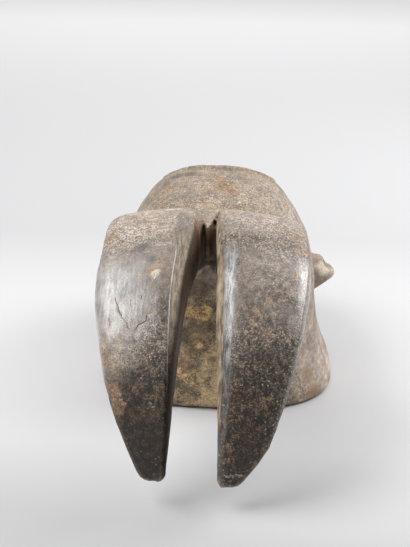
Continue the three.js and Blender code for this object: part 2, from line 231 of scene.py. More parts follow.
# %% [markdown]
# ## Measuring the skin
# Wear follows shape: edges are rubbed and hollows keep their dirt. So the skin is measured
# first. Where the normals of neighbours open like a fan there is an edge, and where they
# close there is a hollow. The measure is spread a little, because one point says little.

# %% Read the points, their normals and their edges
def points(piece):
    co = np.empty(len(piece.data.vertices) * 3, np.float32)
    piece.data.vertices.foreach_get("co", co)
    return co.reshape(-1, 3).astype(float)


def normals(piece):
    piece.data.update()
    no = np.empty(len(piece.data.vertices) * 3, np.float32)
    piece.data.vertices.foreach_get("normal", no)
    return no.reshape(-1, 3).astype(float)


def edges_of(piece):
    pairs = np.empty(len(piece.data.edges) * 2, np.int32)
    piece.data.edges.foreach_get("vertices", pairs)
    return pairs.reshape(-1, 2)


print(len(edges_of(mask)), "edges")

# %% Measure edges and hollows, and blend between two limits
def spread(values, pairs, times):
    """Each point takes the mean of itself and its neighbours, a few times over."""
    for _ in range(times):
        total, count = values.copy(), np.ones(len(values))
        for a, b in ((0, 1), (1, 0)):
            total += np.bincount(pairs[:, a], values[pairs[:, b]], len(values))
            count += np.bincount(pairs[:, a], minlength=len(values))
        values = total / count
    return values


def bulge(piece):
    """Above 0 on an outer edge and below 0 in a hollow, in turns per metre."""
    co, no, pairs = points(piece), normals(piece), edges_of(piece)
    way = co[pairs[:, 1]] - co[pairs[:, 0]]
    turn = ((no[pairs[:, 1]] - no[pairs[:, 0]]) * way).sum(1) / np.maximum((way**2).sum(1), 1e-12)
    total = np.bincount(pairs[:, 0], turn, len(co)) + np.bincount(pairs[:, 1], turn, len(co))
    neighbours = np.bincount(pairs.ravel(), minlength=len(co))
    return total / neighbours


def step_up(values, start, end):
    """From 0 at the start to 1 at the end, with soft ends."""
    share = np.clip((values - start) / (end - start), 0, 1)
    return share * share * (3 - 2 * share)


curved = spread(np.abs(bulge(mask)), edges_of(mask), 3)
print("curvature quartiles", np.percentile(curved, [5, 25, 50, 75, 95]).round(0))

# %% [markdown]
# ## Softened by wear
# A Smooth modifier with a vertex group rubs down only where the group says. The face keeps
# its carving, and the flat back rim keeps its place on the table.

# %% Soften it as wear does
def group(piece, name, weights):
    made = piece.vertex_groups.new(name=name)
    levels = np.round(np.clip(weights, 0, 1) * 20).astype(int)
    for level in range(1, 21):
        made.add(np.nonzero(levels == level)[0].tolist(), level / 20, "REPLACE")
    return name


co = points(mask)
sharp = step_up(spread(curved, edges_of(mask), 2), 35, 90)
on_face = step_up(co[:, 1], 0.028, 0.034) * step_up(co[:, 2], 0.085, 0.1)
rim = 1 - step_up(co[:, 2], 0.001, 0.004)
broad = group(mask, "broad", (1 - sharp) * (1 - 0.85 * on_face) * (1 - rim))
finish_with(mask, "SMOOTH", factor=0.5, iterations=70, vertex_group=broad)
finish_with(mask, "SMOOTH", factor=0.5, iterations=2)
print(f"softened points moved {np.linalg.norm(points(mask) - co, axis=1).mean() * 1000:.2f} mm")

# %% [markdown]
# ## The hand of the carver
# No adze leaves a true plane. Slow waves over the wood, small flats, and nicks along the
# sharp edges are pushed into the skin with displacement, which moves each point along its
# own direction by the strength of a pattern there. The skin is thinned at the end, because
# flat wood needs few faces. Its faces have four sides, so each counts as two triangles.

# %% Waves, flats and nicks
MOST_FACES = 190000


def pattern(name, kind, size, **settings):
    made = bpy.data.textures.new(name, kind)
    made.noise_scale = size
    for key, value in settings.items():
        setattr(made, key, value)
    return made


co = points(mask)
above_rim = step_up(co[:, 2], 0.0015, 0.005)
off_rim = group(mask, "off_rim", above_rim)
worn = spread(bulge(mask), edges_of(mask), 2)
rough_edges = group(mask, "rough_edges", step_up(worn, 70, 260) * above_rim)
waves = pattern("waves", "CLOUDS", 0.030)
flats = pattern("flats", "VORONOI", 0.011, distance_metric="DISTANCE")
nicks = pattern("nicks", "CLOUDS", 0.005)
finish_with(mask, "DISPLACE", texture=waves, strength=0.0011, mid_level=0.55, vertex_group=off_rim)
finish_with(mask, "DISPLACE", texture=flats, strength=0.0004, mid_level=0.5, vertex_group=off_rim)
finish_with(mask, "DISPLACE", texture=nicks, strength=0.0014, mid_level=0.75, vertex_group=rough_edges)
finish_with(mask, "SMOOTH", factor=0.5, iterations=1)
finish_with(mask, "DECIMATE", ratio=MOST_FACES / (2 * len(mask.data.polygons)))
print("after carving:", len(mask.data.polygons), "faces")

# %% [markdown]
# ## Reading places off the picture
# Stains and cracks have no measure but where they show. A ray sent from the camera through
# a pixel finds the point of the surface that shows there, and that point is their place.

# %% Find the point that shows at a pixel
bm = bmesh.new()
bm.from_mesh(mask.data)
surface = BVHTree.FromBMesh(bm)
bm.free()


def seen_at(x, y):
    """The point of the surface that shows at a pixel, and the way that it faces."""
    half = IMAGE_SIZE[1] / 2
    reach = camera.data.sensor_width / 2 / camera.data.lens
    local = Vector(((x - IMAGE_SIZE[0] / 2) / half * reach, (half - y) / half * reach, -1))
    ray = (camera.matrix_world.to_3x3() @ local).normalized()
    place, facing, *_ = surface.ray_cast(camera.matrix_world.translation, ray)
    return place, facing


LEFT_HIGHLIGHT = (115, 300)
print("the left horn's highlight lies at", [round(v, 3) for v in seen_at(*LEFT_HIGHLIGHT)[0]])

# %% [markdown]
# ## Where the wood is dusty, smoky, worn or bare
# The finish depends on where it is. Numbers stored on each point say so, and the materials
# read them by name. Both horns curve round one axis that runs from side to side. So a place
# on a horn has an arc, in degrees from the top of the curve towards the tip, and a reach,
# its distance from that axis. Most of the wear on the horns goes by these two. All lengths
# are in metres.

# %% Arc and reach on the horns
HORN_AXIS = (-0.07026, 0.022)  # its y and z
co = np.clip(points(mask), LOW, HIGH)
mask.data.vertices.foreach_set("co", co.astype(np.float32).ravel())
x, y, z = co.T
no, pairs = normals(mask), edges_of(mask)
arc = np.degrees(np.arctan2(HORN_AXIS[0] - y, z - HORN_AXIS[1]))
reach = np.hypot(y - HORN_AXIS[0], z - HORN_AXIS[1])
horn = step_up(-y, 0.050, 0.056) * step_up(reach, 0.075, 0.084)
bend = spread(bulge(mask), pairs, 3)
right = x > 0.001


def by_arc(*stops):
    """A value that changes along the horns, from pairs of degrees and value."""
    return np.interp(arc, *zip(*stops))


print(f"horns are {horn.mean():.0%} of the points")

# %% [markdown]
# ## The slot between the horns
# The walls of the slot are painted dark up to a worn lip, as painted shade. The bevel on the
# right horn catches the light and is burnished, with a painted highlight in its colour. The one
# on the left horn turns away from it, so it is painted dark as shade and made matt. A pointed
# ledge joins the roots. Its top and the narrow gaps beside it are painted pale as light that
# barely reaches there, and below it the ledge is painted dark as shade. The inside, which
# nobody sees, was left raw.

# %% Walls, lips and bevels
faces_slot = np.maximum(step_up(np.abs(no[:, 0]), 0.45, 0.7), ~right * step_up(arc, 10, 16))
wall = horn * (1 - step_up(np.abs(x - 0.001), 0.0165, 0.020)) * faces_slot
edge_left = by_arc((-8, 0.1280), (6, 0.1270), (14, 0.1258), (24, 0.1250), (39, 0.1261), (51, 0.1267))
edge_right = by_arc((0, 0.1120), (8, 0.1130), (14, 0.1145), (24, 0.1166), (36, 0.1182))
edge = np.where(right, edge_right, edge_left)
lip_left = by_arc((10, 0.4), (24, 0.6), (39, 0.8), (51, 0.4), (60, 0))
lip_right = 1 - step_up(reach, 0.1240, 0.1250)
lip = wall * step_up(reach, edge - 0.0004, edge + 0.0006) * np.where(right, lip_right, lip_left)
# burnished wood on the right horn's bevel, with a painted highlight in its colour
burnished_and_highlight = step_up(reach, 0.1238, 0.1246) * (1 - step_up(np.abs(x - 0.0175), 0.0025, 0.0048))
burnished_and_highlight *= horn * right * by_arc((16, 0), (27, 1), (54, 1), (66, 0.4), (78, 0.1))
# painted shade: the left horn's bevel, turned away from the light, is painted dark and made matt
dull_and_shaded = horn * ~right * step_up(reach, edge - 0.005, edge - 0.0035) * (1 - step_up(-x, 0.0165, 0.019))
dull_and_shaded *= by_arc((8, 0), (20, 0.7), (48, 0.7), (60, 1))
inner = wall * (1 - step_up(reach, edge - np.where(right, 0.0045, 0.0025), edge))
# painted shade: where the walls of the slot go deep, they are painted dark
deep = inner * step_up(arc, np.where(right, 1, -4), np.where(right, 12, 7))
# painted shade: the top of the left horn's bevel beside the slot is painted grey
greyed_in_shade = horn * ~right * step_up(x, -0.025, -0.019) * (1 - inner)
greyed_in_shade *= by_arc((-9, 0), (-2, 0.5), (16, 0.5), (24, 0))
print(f"dark walls {deep.mean():.1%}, lips {lip.mean():.1%}, burnished bevel {burnished_and_highlight.mean():.1%}")

# %% The ledge between the roots, and the raw inside
slope = 0.8 * np.maximum(np.abs(x) - 0.004, 0)
between_roots = (np.abs(x + 0.001) < 0.011) & (y < -0.02) & (z > 0.109 - slope)
front_of_ledge = (y > -0.054) | (y > -0.074) & (np.abs(no[:, 0]) > 0.6)
# painted light: the ledge top and the narrow gaps beside it are painted pale where little light reaches
painted_ledge_light = between_roots & (z < 0.141) & front_of_ledge
painted_ledge_light = spread(painted_ledge_light * step_up(z, 0.112, 0.124), pairs, 1)
# painted shade: the front of the ledge and the slot below it are painted dark
keel = between_roots & (y > -0.076) & (z < np.where(y < -0.054, 0.1405, 0.1385))
shaded = np.maximum(deep, spread(keel.astype(float), pairs, 1) * (1 - painted_ledge_light))
middle = np.array([0.001, 0.0, 0.02]) + np.outer(np.clip(y, -0.01, 0.15), [0, 1, 0])
inside = (((middle - co) * no).sum(1) > 0.002) & (y > -0.042) & (z < 0.142)
print(f"ledge {painted_ledge_light.mean():.1%}, inside {inside.mean():.1%}")

# %% [markdown]
# ## Smoke, polish and grit
# Smoke blackened the tips most, as they hung lowest over the fire. Hands polished the
# middle of the horns, and dust lies on what faces up. The bulge of the left horn, where the
# left lamp's highlight falls, is worn smooth and gets a cool pale painted highlight. The outer
# side of that horn, facing the same lamp, is made less smoky, partly as painted light. The
# crown under the horns is greasy and yellowed. The dome is the forehead, the highest part of
# the head.

# %% The broad zones of the finish
# partly painted light: the outer side of the left horn, facing the left lamp, is made less smoky
outer_left_lit = step_up(-x, 0.029, 0.050) * by_arc((40, 0), (50, 1), (61, 0.9), (69, 0))
# painted highlight: the bulge of the left horn where the left lamp's highlight falls
painted_glow = step_up(-x, 0.028, 0.04) * by_arc((24, 0), (30, 1), (46, 1), (58, 0))
dome = (1 - horn) * 0.34 * step_up(z, 0.125, 0.14) * (1 - step_up(y, 0.045, 0.06))
crown = step_up(-y, 0.02, 0.035) * (1 - step_up(z, 0.082, 0.105)) * (1 - horn)
yellowed = np.maximum(crown * (1 - 0.8 * step_up(np.abs(x), 0.03, 0.05)), 0.5 * dome)
smooth_tip = ~right * by_arc((60, 0), (72, 0.45))
unrubbed = 1 - 0.6 * right * step_up(x, 0.0195, 0.0215) * (1 - step_up(x, 0.026, 0.030))
chin_side = (1 - horn) * step_up(y, 0.02, 0.07)
print(f"glow {painted_glow.mean():.1%}, crown {crown.mean():.1%}, chin side {chin_side.mean():.1%}")

# %% How smoky, polished and gritty each point is
smoke_at_top = [(4, 0.08), (12, 0.2), (22, 0.4), (27, 0.34), (40, 0.44)]
smoke_at_tip = [(50, 0.48), (58, 0.63), (66, 0.9), (74, 1.2), (85, 1.7)]
smoke = by_arc(*smoke_at_top, *smoke_at_tip)
smoke += np.where(right, by_arc((16, 0.22), (26, 0.08)), by_arc((24, 0), (30, 0.05), (46, 0.05), (54, 0)))
smoke -= 0.65 * outer_left_lit + 0.5 * right * step_up(arc, 70, 85)
smoke = horn * smoke + dome + 0.4 * chin_side
polish = horn * unrubbed * by_arc((16, 0.1), (24, 1), (48, 0.9), (62, 0.5), (76, 0.15))
grainy = by_arc((6, 1), (18, 1), (25, 0.45), (45, 0.45), (52, 1), (72, 0.9), (88, 0.6))
grainy += 0.1 * right * by_arc((24, 0), (30, 1), (45, 1), (52, 0)) - 0.25 * painted_glow - 0.45 * outer_left_lit
grainy *= horn * (1 - smooth_tip)
grainy += (1 - horn) * 0.7 * step_up(z, 0.10, 0.14) + 0.5 * crown
# painted shadow: a dark line along the foot of the rim, where it meets the table
rim_shade_line = 1 - step_up(z, 0.0012, 0.003)
print(f"smoke {smoke.min():.2f} to {smoke.max():.2f}")

# %% Store the numbers on the points
stored = []


def store(piece, name, values, low=0, high=1):
    layer = piece.data.attributes.new(name, "FLOAT", "POINT")
    layer.data.foreach_set("value", np.clip(values, low, high).astype(np.float32))
    stored.append(name)
    print(f"{name:9s} mean {np.clip(values, low, high).mean():.2f}")


MOST_SMOKE = 2
store(mask, "smoke", smoke, 0, MOST_SMOKE)
store(mask, "polish", polish)
store(mask, "grainy", grainy)
store(mask, "worn", step_up(bend, 60, 220))
# dirt in the hollows, and the painted shadow line along the rim
store(mask, "dirt_and_rim_shade", np.maximum(step_up(-bend, 40, 200), rim_shade_line))
store(mask, "bare", spread(inside.astype(float), pairs, 2))
store(mask, "shade", shaded)
store(mask, "painted_ledge_light", painted_ledge_light)
store(mask, "crown", yellowed)
store(mask, "dull_and_shaded", dull_and_shaded)
store(mask, "painted_glow", painted_glow * horn)
store(mask, "lip", lip)
store(mask, "burnished_and_highlight", burnished_and_highlight)

# %% [markdown]
# ## Stains
# Grease, rust-brown dirt, grey tarnish and pale chips lie on the wood where chance put
# them. A few of the patches are painted shade and painted highlights instead, as noted beside
# them. Each is a round patch with a soft edge, and the wood's own pattern breaks it up later.
# They are read off the picture one by one, as the only way to put them in place.

# %% Stains, each as a pixel's x and y, a reach in mm and a strength
STAINS = {
    "ochre": [
        # on the forehead
        (200, 172, 3, 1.2), (219, 180, 6, 1), (226, 188, 6, 0.9), (212, 174, 4, 0.7), (212, 190, 5, 0.6),
        (232, 194, 6, 0.7), (204, 194, 4, 0.6), (170, 187, 5, 0.6), (162, 203, 3, 0.6),
        # on the left horn
        (159, 265, 4, 1), (154, 269, 3.5, 1), (163, 262, 2.5, 0.8), (152, 274, 3, 0.8),
        (110, 238, 8, 0.6), (102, 350, 6, 0.6), (107, 362, 5, 0.6), (112, 390, 8, 0.6),
        (118, 408, 7, 0.5), (126, 318, 2, 0.5),
        # on the right horn
        (296, 238, 7, 0.6), (302, 250, 6, 0.6), (293, 273, 2, 0.9), (298, 274, 2, 0.9),
        (258, 312, 8, 0.4), (265, 330, 8, 0.3), (263, 353, 5, 0.4), (268, 300, 6, 0.35),
        (241, 372, 4, 0.35), (268, 403, 6, 0.35), (288, 342, 4, 0.35), (230, 448, 5, 0.4),
        (228, 462, 4, 0.35),
        # on the crown and in the slot
        (191, 314, 6, 1), (203, 315, 6, 1), (199, 345, 7, 0.9), (189, 352, 5, 0.6), (207, 338, 4, 0.6),
        (184, 366, 6, 0.9), (201, 221, 6, 1), (197, 215, 3, 0.9), (198, 228, 5, 0.8), (203, 226, 4, 0.9),
        (213, 222, 3, 0.6), (198, 362, 6, 0.4),
        # on the ear and the flank
        (318, 262, 5, 0.6), (315, 395, 10, 0.8), (308, 375, 8, 0.6), (303, 352, 6, 0.4),
    ],
    "tarnish": [
        # on the forehead; the spots along its top edge are partly painted shade under the raised band,
        # partly grey tarnish
        (177, 176, 9, 0.65), (190, 174, 8, 0.7), (166, 184, 8, 0.45), (202, 175, 6, 0.5),
        (212, 176, 9, 0.45), (240, 178, 10, 0.5), (262, 190, 10, 0.45), (222, 186, 10, 0.4),
        # on the left horn
        (142, 247, 6, 0.8), (134, 250, 4, 0.6), (150, 259, 4, 0.7), (158, 240, 4, 0.5),
        (123, 252, 5, 0.5), (124, 372, 6, 0.5),
        # on the right horn
        (236, 262, 4, 0.7), (258, 238, 5, 0.5), (232, 236, 4, 0.5), (282, 248, 4, 0.4),
        (262, 355, 8, 0.5), (276, 365, 7, 0.5),
        # on the crown and in the slot
        (200, 288, 9, 0.8), (209, 326, 6, 0.9), (202, 329, 5, 0.9), (193, 327, 5, 0.9),
        (187, 331, 5, 0.9), (186, 341, 6, 0.7), (212, 360, 4, 0.7), (211, 372, 5, 0.5),
        (196, 372, 4, 0.4), (186, 389, 5, 0.6), (204, 312, 1.2, 1), (200, 311, 1.2, 1),
    ],
    "umber": [
        # on the forehead
        (218, 176, 5, 0.8), (226, 182, 6, 0.8), (221, 189, 4, 0.6), (232, 191, 5, 0.7),
        (240, 184, 4, 0.5), (170, 190, 4, 0.4),
        # on the left horn
        (111, 391, 5, 0.5), (115, 404, 5, 0.4),
        # on the right horn
        (264, 355, 5, 0.5), (268, 402, 5, 0.5), (298, 240, 5, 0.4),
        # on the crown and in the slot
        (196, 222, 4, 0.9), (200, 228, 4, 0.9),
        # on the ear and the flank
        (306, 392, 7, 0.6), (314, 393, 6, 0.6),
    ],
    "pale": [
        # on the left horn; the row of spots along its crest, near y 208 to 212, is a painted highlight on
        # the worn crest
        (155, 273, 3, 1), (153, 276.5, 2, 0.9), (158, 270.5, 2, 0.9), (150, 404, 0.9, 1),
        (152, 407, 0.9, 0.9), (104, 345, 4, 0.5), (109, 243, 4, 0.4), (140, 212, 4, 0.5),
        (150, 211, 4, 0.5), (160, 210, 4, 0.5), (170, 209.5, 4, 0.6), (175, 222, 7, 0.3),
        (130, 221, 8, 0.3),
        # on the right horn
        (219, 455, 1.2, 0.8), (249, 323, 1.2, 0.5), (249, 328, 1.2, 0.5), (240, 222, 7, 0.3),
        (275, 222, 6, 0.3),
        # on the crown and in the slot; the last two spots, near y 209, end the painted highlight on the
        # left horn's crest
        (182, 347, 1, 1), (185, 349, 0.9, 1), (211, 354, 1.2, 1), (205, 369, 1.1, 0.8),
        (211, 298, 0.9, 0.9), (210, 381, 1, 0.5), (180, 209, 4, 0.6), (189, 208.5, 3, 0.6),
        # on the ear and the flank: the pale top of the ear is partly a painted highlight, where the right
        # lamp lights it
        (322, 268, 8, 0.8),
    ],
    "gold": [
        # on the crown and in the slot
        (188, 313, 4, 1.2), (194, 311, 4, 1.2), (201, 314, 5, 1.4), (207, 311, 4, 1.2),
        (206, 317, 3, 0.8), (190, 318, 3, 0.7), (199, 345, 4, 0.9), (195, 342, 1.5, 0.7),
        (203, 349, 1.5, 0.7), (206, 338, 1.5, 0.6), (178, 371, 2.8, 1.2), (180.5, 374, 2.8, 1.2),
        (184, 377, 2.6, 1.2), (188, 380.5, 2.4, 1.2), (192, 383, 2.4, 1), (197, 384.5, 2, 0.8),
        (204, 385, 1.5, 0.5), (182, 364, 2.5, 0.6), (203, 394, 4, 0.6), (195, 300, 1.2, 0.6),
        (214, 381, 1.5, 0.5),
    ],
}
zones = {
    "tarnish": greyed_in_shade,
    "ochre": inner * by_arc((-12, 0), (-5, 0.8), (6, 0.8), (14, 0)),
}
for name, spots in STAINS.items():
    strength = zones.get(name, np.zeros(len(co)))
    for px, py, size, share in spots:
        far = ((co - np.array(seen_at(px, py)[0])) ** 2).sum(1) / (size / 1000) ** 2
        strength = np.maximum(strength, share * np.exp(-far))
    store(mask, name, strength)

# %% [markdown]
# ## The bright line on the left horn, a painted highlight
# A worn edge runs down the left horn beside the slot, and its shine is painted on as a thin
# pale line, a painted highlight. Its places are read off the picture, joined by arc, and each
# point stores its distance to the line.

# %% Distance from the bright line
ARRIS = [(176.5, 251), (172.5, 273), (169.5, 300), (168.5, 340), (168, 385), (165.5, 430), (163, 466)]
FAR_FROM_ARRIS = 20
line = np.array([seen_at(*p)[0] for p in ARRIS])
line_arc = np.degrees(np.arctan2(HORN_AXIS[0] - line[:, 1], line[:, 2] - HORN_AXIS[1]))
off_arris = (x - np.interp(arc, line_arc, line[:, 0])) * 1000
off_arris += by_arc((18, 0.7), (26, 0), (42, 0), (52, 0.4), (70, 0.6))
off_arris[(reach < 0.118) | (arc < line_arc[0] - 6) | right] = FAR_FROM_ARRIS
store(mask, "off_arris", off_arris, -FAR_FROM_ARRIS, FAR_FROM_ARRIS)

# %% [markdown]
# ## Shrinkage cracks
# As the block dried, the thick end grain of the horns opened in fine jagged cracks. Each is
# cut with a thin wedge that follows a line drawn on the surface, as seen from the camera,
# because that is how they were read. No primitive follows such a line, so the wedge is built
# point by point. Chance makes the line jagged, as the grain does. The wedge leaves a dark
# material on the walls of the cut, which is painted shade for the inside of the crack.

# %% Draw a jagged line and shape a wedge along it
chance = np.random.default_rng(7)
STANDS_OUT = 0.0003


def jagged(line, step=1.3, shift=0.4):
    """The line cut into short steps, each pushed a little to one side."""
    corners = []
    for a, b in zip(line, line[1:]):
        count = max(round(math.dist(a, b) / step), 1)
        corners += [np.array(a) + (np.array(b) - a) * k / count for k in range(count)]
    return [corner + chance.uniform(-shift, shift, 2) for corner in corners] + [np.array(line[-1])]


def wedge(line, width, depth):
    """A thin closed wedge along a line of pixels, narrow at both ends."""
    bm = bmesh.new()
    rings = []
    hits = [seen_at(*p) for p in jagged(line)]
    for i, (place, facing) in enumerate(hits):
        before, after = hits[max(i - 1, 0)][0], hits[min(i + 1, len(hits) - 1)][0]
        side = (after - before).cross(facing).normalized()
        share = 0.2 + 0.8 * min(i, len(hits) - 1 - i, 3) / 3
        half = side * width / 2 * share
        rings.append([
            bm.verts.new(place + facing * STANDS_OUT + half),
            bm.verts.new(place + facing * STANDS_OUT - half),
            bm.verts.new(place - facing * depth * (0.3 + 0.7 * share)),
        ])
    for a, b in zip(rings, rings[1:]):
        for k in range(3):
            bm.faces.new((a[k], a[(k + 1) % 3], b[(k + 1) % 3], b[k]))
    bm.faces.new(rings[0][::-1])
    bm.faces.new(rings[-1])
    bmesh.ops.recalc_face_normals(bm, faces=bm.faces)
    for face in bm.faces:
        face.material_index = 1
    mesh = bpy.data.meshes.new("crack_wedge")
    bm.to_mesh(mesh)
    bm.free()
    return mesh


print("a wedge stands out by", STANDS_OUT * 1000, "mm, so that it cuts the skin cleanly")

# %% The two woods: smoked outside, and painted shade on the walls within a crack
wood = bpy.data.materials.new("smoked_hardwood")
crack_shade = bpy.data.materials.new("crack_wall_shade")
mask.data.materials.clear()
for material in (wood, crack_shade):
    material.use_nodes = True
    mask.data.materials.append(material)
# painted shade: a dark, crumbly tone on the walls inside each crack
tree = crack_shade.node_tree
shader = tree.nodes["Principled BSDF"]
CRUMB_MM = 1.11
crumbs = add(tree, "TexNoise", {"Vector": add(tree, "TexCoord", out="Object"), "Scale": 1000 / CRUMB_MM})
tone = add(tree, "ValToRGB", [crumbs], stops=[(0.4, "#120d0a"), (0.6, "#33271d")])
tree.links.new(tone, shader.inputs["Base Color"])
shader.inputs["Roughness"].default_value = 0.9
print(len(tree.nodes), "nodes in the split wood")

# %% Cut the cracks, each a line of pixels, a width and a depth in metres
CRACKS = [
    (((115.6, 297), (116, 302), (118, 306), (119, 311), (121, 315), (123, 319)), 0.0003, 0.0012),
    (((123, 319), (126.5, 322.5), (128, 328.5), (131, 330.5)), 0.0002, 0.0007),
    (
        (
            (133, 330.5), (135.5, 330), (137, 327), (138, 324.5),
            (142.5, 323), (146, 320.5), (146.8, 316), (147.3, 313),
        ),
        0.0005,
        0.0018,
    ),
    (((147.6, 313), (151, 313), (154.5, 310.5)), 0.0003, 0.001),
    (((109, 318), (110.5, 326)), 0.00025, 0.0008),
    (((141, 295), (142, 299)), 0.0005, 0.0012),
    (((133, 336), (134.5, 339), (133.5, 346)), 0.0002, 0.0007),
    (((224, 475), (229, 476.5), (235, 475), (240, 476.5), (245, 476)), 0.0004, 0.0012),
]
for line, width, depth in CRACKS:
    blade = bpy.data.objects.new("crack_wedge", wedge(line, width, depth))
    bpy.context.collection.objects.link(blade)
    finish_with(mask, "BOOLEAN", object=blade, operation="DIFFERENCE", solver="EXACT")
    bpy.data.objects.remove(blade)
print(len(CRACKS), "cracks cut;", len(mask.data.polygons), "faces")

# %% [markdown]
# ## Smoked and handled wood: its patterns
# Old dark hardwood, blackened by smoke and oil and then handled. Its grain runs from horn
# to chin. Each pattern below has a size in mm, from clouds of smoke down to grit, and may be
# drawn out: 0.1 along y makes streaks ten times longer towards the chin. Real pores, grit
# and fibres are about 0.2 mm wide, too fine to show at this size, so they are drawn at 1 to
# 2 mm, and bundles of fibres at 3 mm.

# %% The wood's patterns
EVEN = (1, 1, 1)
PATTERNS = {  # its stretch in x, y and z, its size in mm, its levels of detail, their strength
    "broad_cloud": (EVEN, 55.6, 4, 0.6),
    "cloud": (EVEN, 14.3, 5, 0.65),
    "rust": (EVEN, 9.09, 3, 0.6),
    "row_mottle": ((0.6, 1, 1), 3.03, 4, 0.7),
    "long_mottle": ((1, 0.7, 0.7), 3.03, 4, 0.7),
    "grain": ((1, 0.1, 1), 2.222, 3, 0.6),
    "streak": ((1, 0.15, 0.15), 1.667, 3, 0.6),
    "grit": (EVEN, 1.053, 2, 0.6),
}
CELLS_MM = {"pores": 1.5625, "flecks": 2.381}
tree = wood.node_tree
shader = tree.nodes["Principled BSDF"]
place = add(tree, "TexCoord", out="Object")
marks = {name: add(tree, "Attribute", out="Fac", attribute_name=name) for name in stored}
noise = {}
for name, (stretch, size, detail, strength) in PATTERNS.items():
    way = add(tree, "Mapping", {"Vector": place, "Scale": stretch})
    inputs = {"Vector": way, "Scale": 1000 / size, "Detail": detail, "Roughness": strength}
    noise[name] = add(tree, "TexNoise", inputs)
cells = {
    name: add(tree, "TexVoronoi", {"Vector": place, "Scale": 1000 / size}, out="Distance")
    for name, size in CELLS_MM.items()
}
print(len(PATTERNS), "patterns and", len(CELLS_MM), "kinds of cell")

# %% [markdown]
# The patterns are blended before use. The mottle lies in rows on top of the horns and is
# drawn out further down. Gritty wood takes the fine blend, handled wood the calm one. A
# swing is how far a pattern is from its middle, so that it can push a value up or down.

# %% Blends of the patterns
SMOOTH = {"interpolation_type": "SMOOTHSTEP"}
cloud, broad_cloud = noise["cloud"], noise["broad_cloud"]
grain, streak, grit = noise["grain"], noise["streak"], noise["grit"]
lower = add(tree, "MapRange", [marks["smoke"], 0.3, 0.5])
mottle = add(tree, "Mix", [lower, noise["row_mottle"], noise["long_mottle"]], data_type="FLOAT")
mottle_swing = add(tree, "Math", [mottle, 0.5], operation="SUBTRACT")
cloud_swing = add(tree, "Math", [cloud, 0.5], operation="SUBTRACT")
fine = add(tree, "Mix", [0.5, mottle, grit], data_type="FLOAT")
calm = 0.29
for part, share in ((cloud, 0.16), (mottle, 0.14), (grain, 0.12)):
    calm = add(tree, "Math", [part, share, calm], operation="MULTIPLY_ADD")
soft = 0.175
for part, share in ((cloud, 0.35), (grain, 0.3)):
    soft = add(tree, "Math", [part, share, soft], operation="MULTIPLY_ADD")
speckle = add(tree, "Mix", [marks["grainy"], calm, fine], data_type="FLOAT")
print(len(tree.nodes), "nodes so far")

# %% [markdown]
# ## From dusty tan to soot
# The ground colour has two states: tan, where dust and rubbing lightened it, and black,
# where smoke settled. The border between them is ragged, because smoke clings in clouds,
# and rust-brown shows through the soot in places.

# %% The ground colour
TONES = {
    "handled": (soft, [(0.38, "#6d5e50"), (0.5, "#948371"), (0.62, "#ae9a80")]),
    "dusty": (speckle, [(0.41, "#4f4339"), (0.5, "#93857a"), (0.59, "#cdc1b0")]),
    "sooty": (speckle, [(0.42, "#17110d"), (0.5, "#392d24"), (0.59, "#7c6953")]),
    "rusty": (speckle, [(0.42, "#2a1a11"), (0.5, "#553d2b"), (0.585, "#94785a")]),
}
tones = {name: add(tree, "ValToRGB", [part], stops=stops) for name, (part, stops) in TONES.items()}
dusty = add(tree, "MapRange", [broad_cloud, 0.35, 0.55, 0.5, 0.95], **SMOOTH)
tan = add(tree, "Mix", [dusty, tones["handled"], tones["dusty"]], data_type="RGBA")
rusty = add(tree, "MapRange", [noise["rust"], 0.5, 0.62, 0, 0.65], **SMOOTH)
black = add(tree, "Mix", [rusty, tones["sooty"], tones["rusty"]], data_type="RGBA")
patchy = add(tree, "MapRange", [marks["grainy"], 0, 0.5, 0.35, 0.9], **SMOOTH)
ragged = add(tree, "Math", [cloud_swing, patchy, marks["smoke"]], operation="MULTIPLY_ADD")
ragged = add(tree, "Math", [marks["tarnish"], 0.2, ragged], operation="MULTIPLY_ADD")
smoky = add(tree, "MapRange", [ragged, 0.12, 0.78], **SMOOTH)
colour = add(tree, "Mix", [smoky, tan, black], data_type="RGBA")
print(len(tree.nodes), "nodes with the ground colour")

# %% [markdown]
# ## Finishes laid over one another
# From here on the colour is built as a restorer would describe it, one finish laid over
# the last. Each layer has a colour and one or more shares, which are multiplied: where it
# lies, how strong it is, and what pattern breaks it up.

# %% Lay a finish over the colour, and the yellowed crown first
def laid_over(colour, finish, *shares):
    amount = shares[0]
    for share in shares[1:]:
        amount = add(tree, "Math", [amount, share], operation="MULTIPLY")
    finish = paint(finish) if isinstance(finish, str) else finish
    return add(tree, "Mix", [amount, colour, finish], data_type="RGBA")


GREASE_TONES = [(0.42, "#5d5145"), (0.5, "#b39a75"), (0.57, "#e8cd9a")]
greasy = add(tree, "Mix", [0.55, cloud, fine], data_type="FLOAT")
crown_wood = add(tree, "ValToRGB", [greasy], stops=GREASE_TONES)
colour = laid_over(colour, crown_wood, marks["crown"], 0.9)
print(len(tree.nodes), "nodes with the crown")

# %% [markdown]
# Old wood is nowhere of one tone. The colour is lightened and darkened by the clouds and
# the grain, by the smoke towards the tips, and by clots of soot.

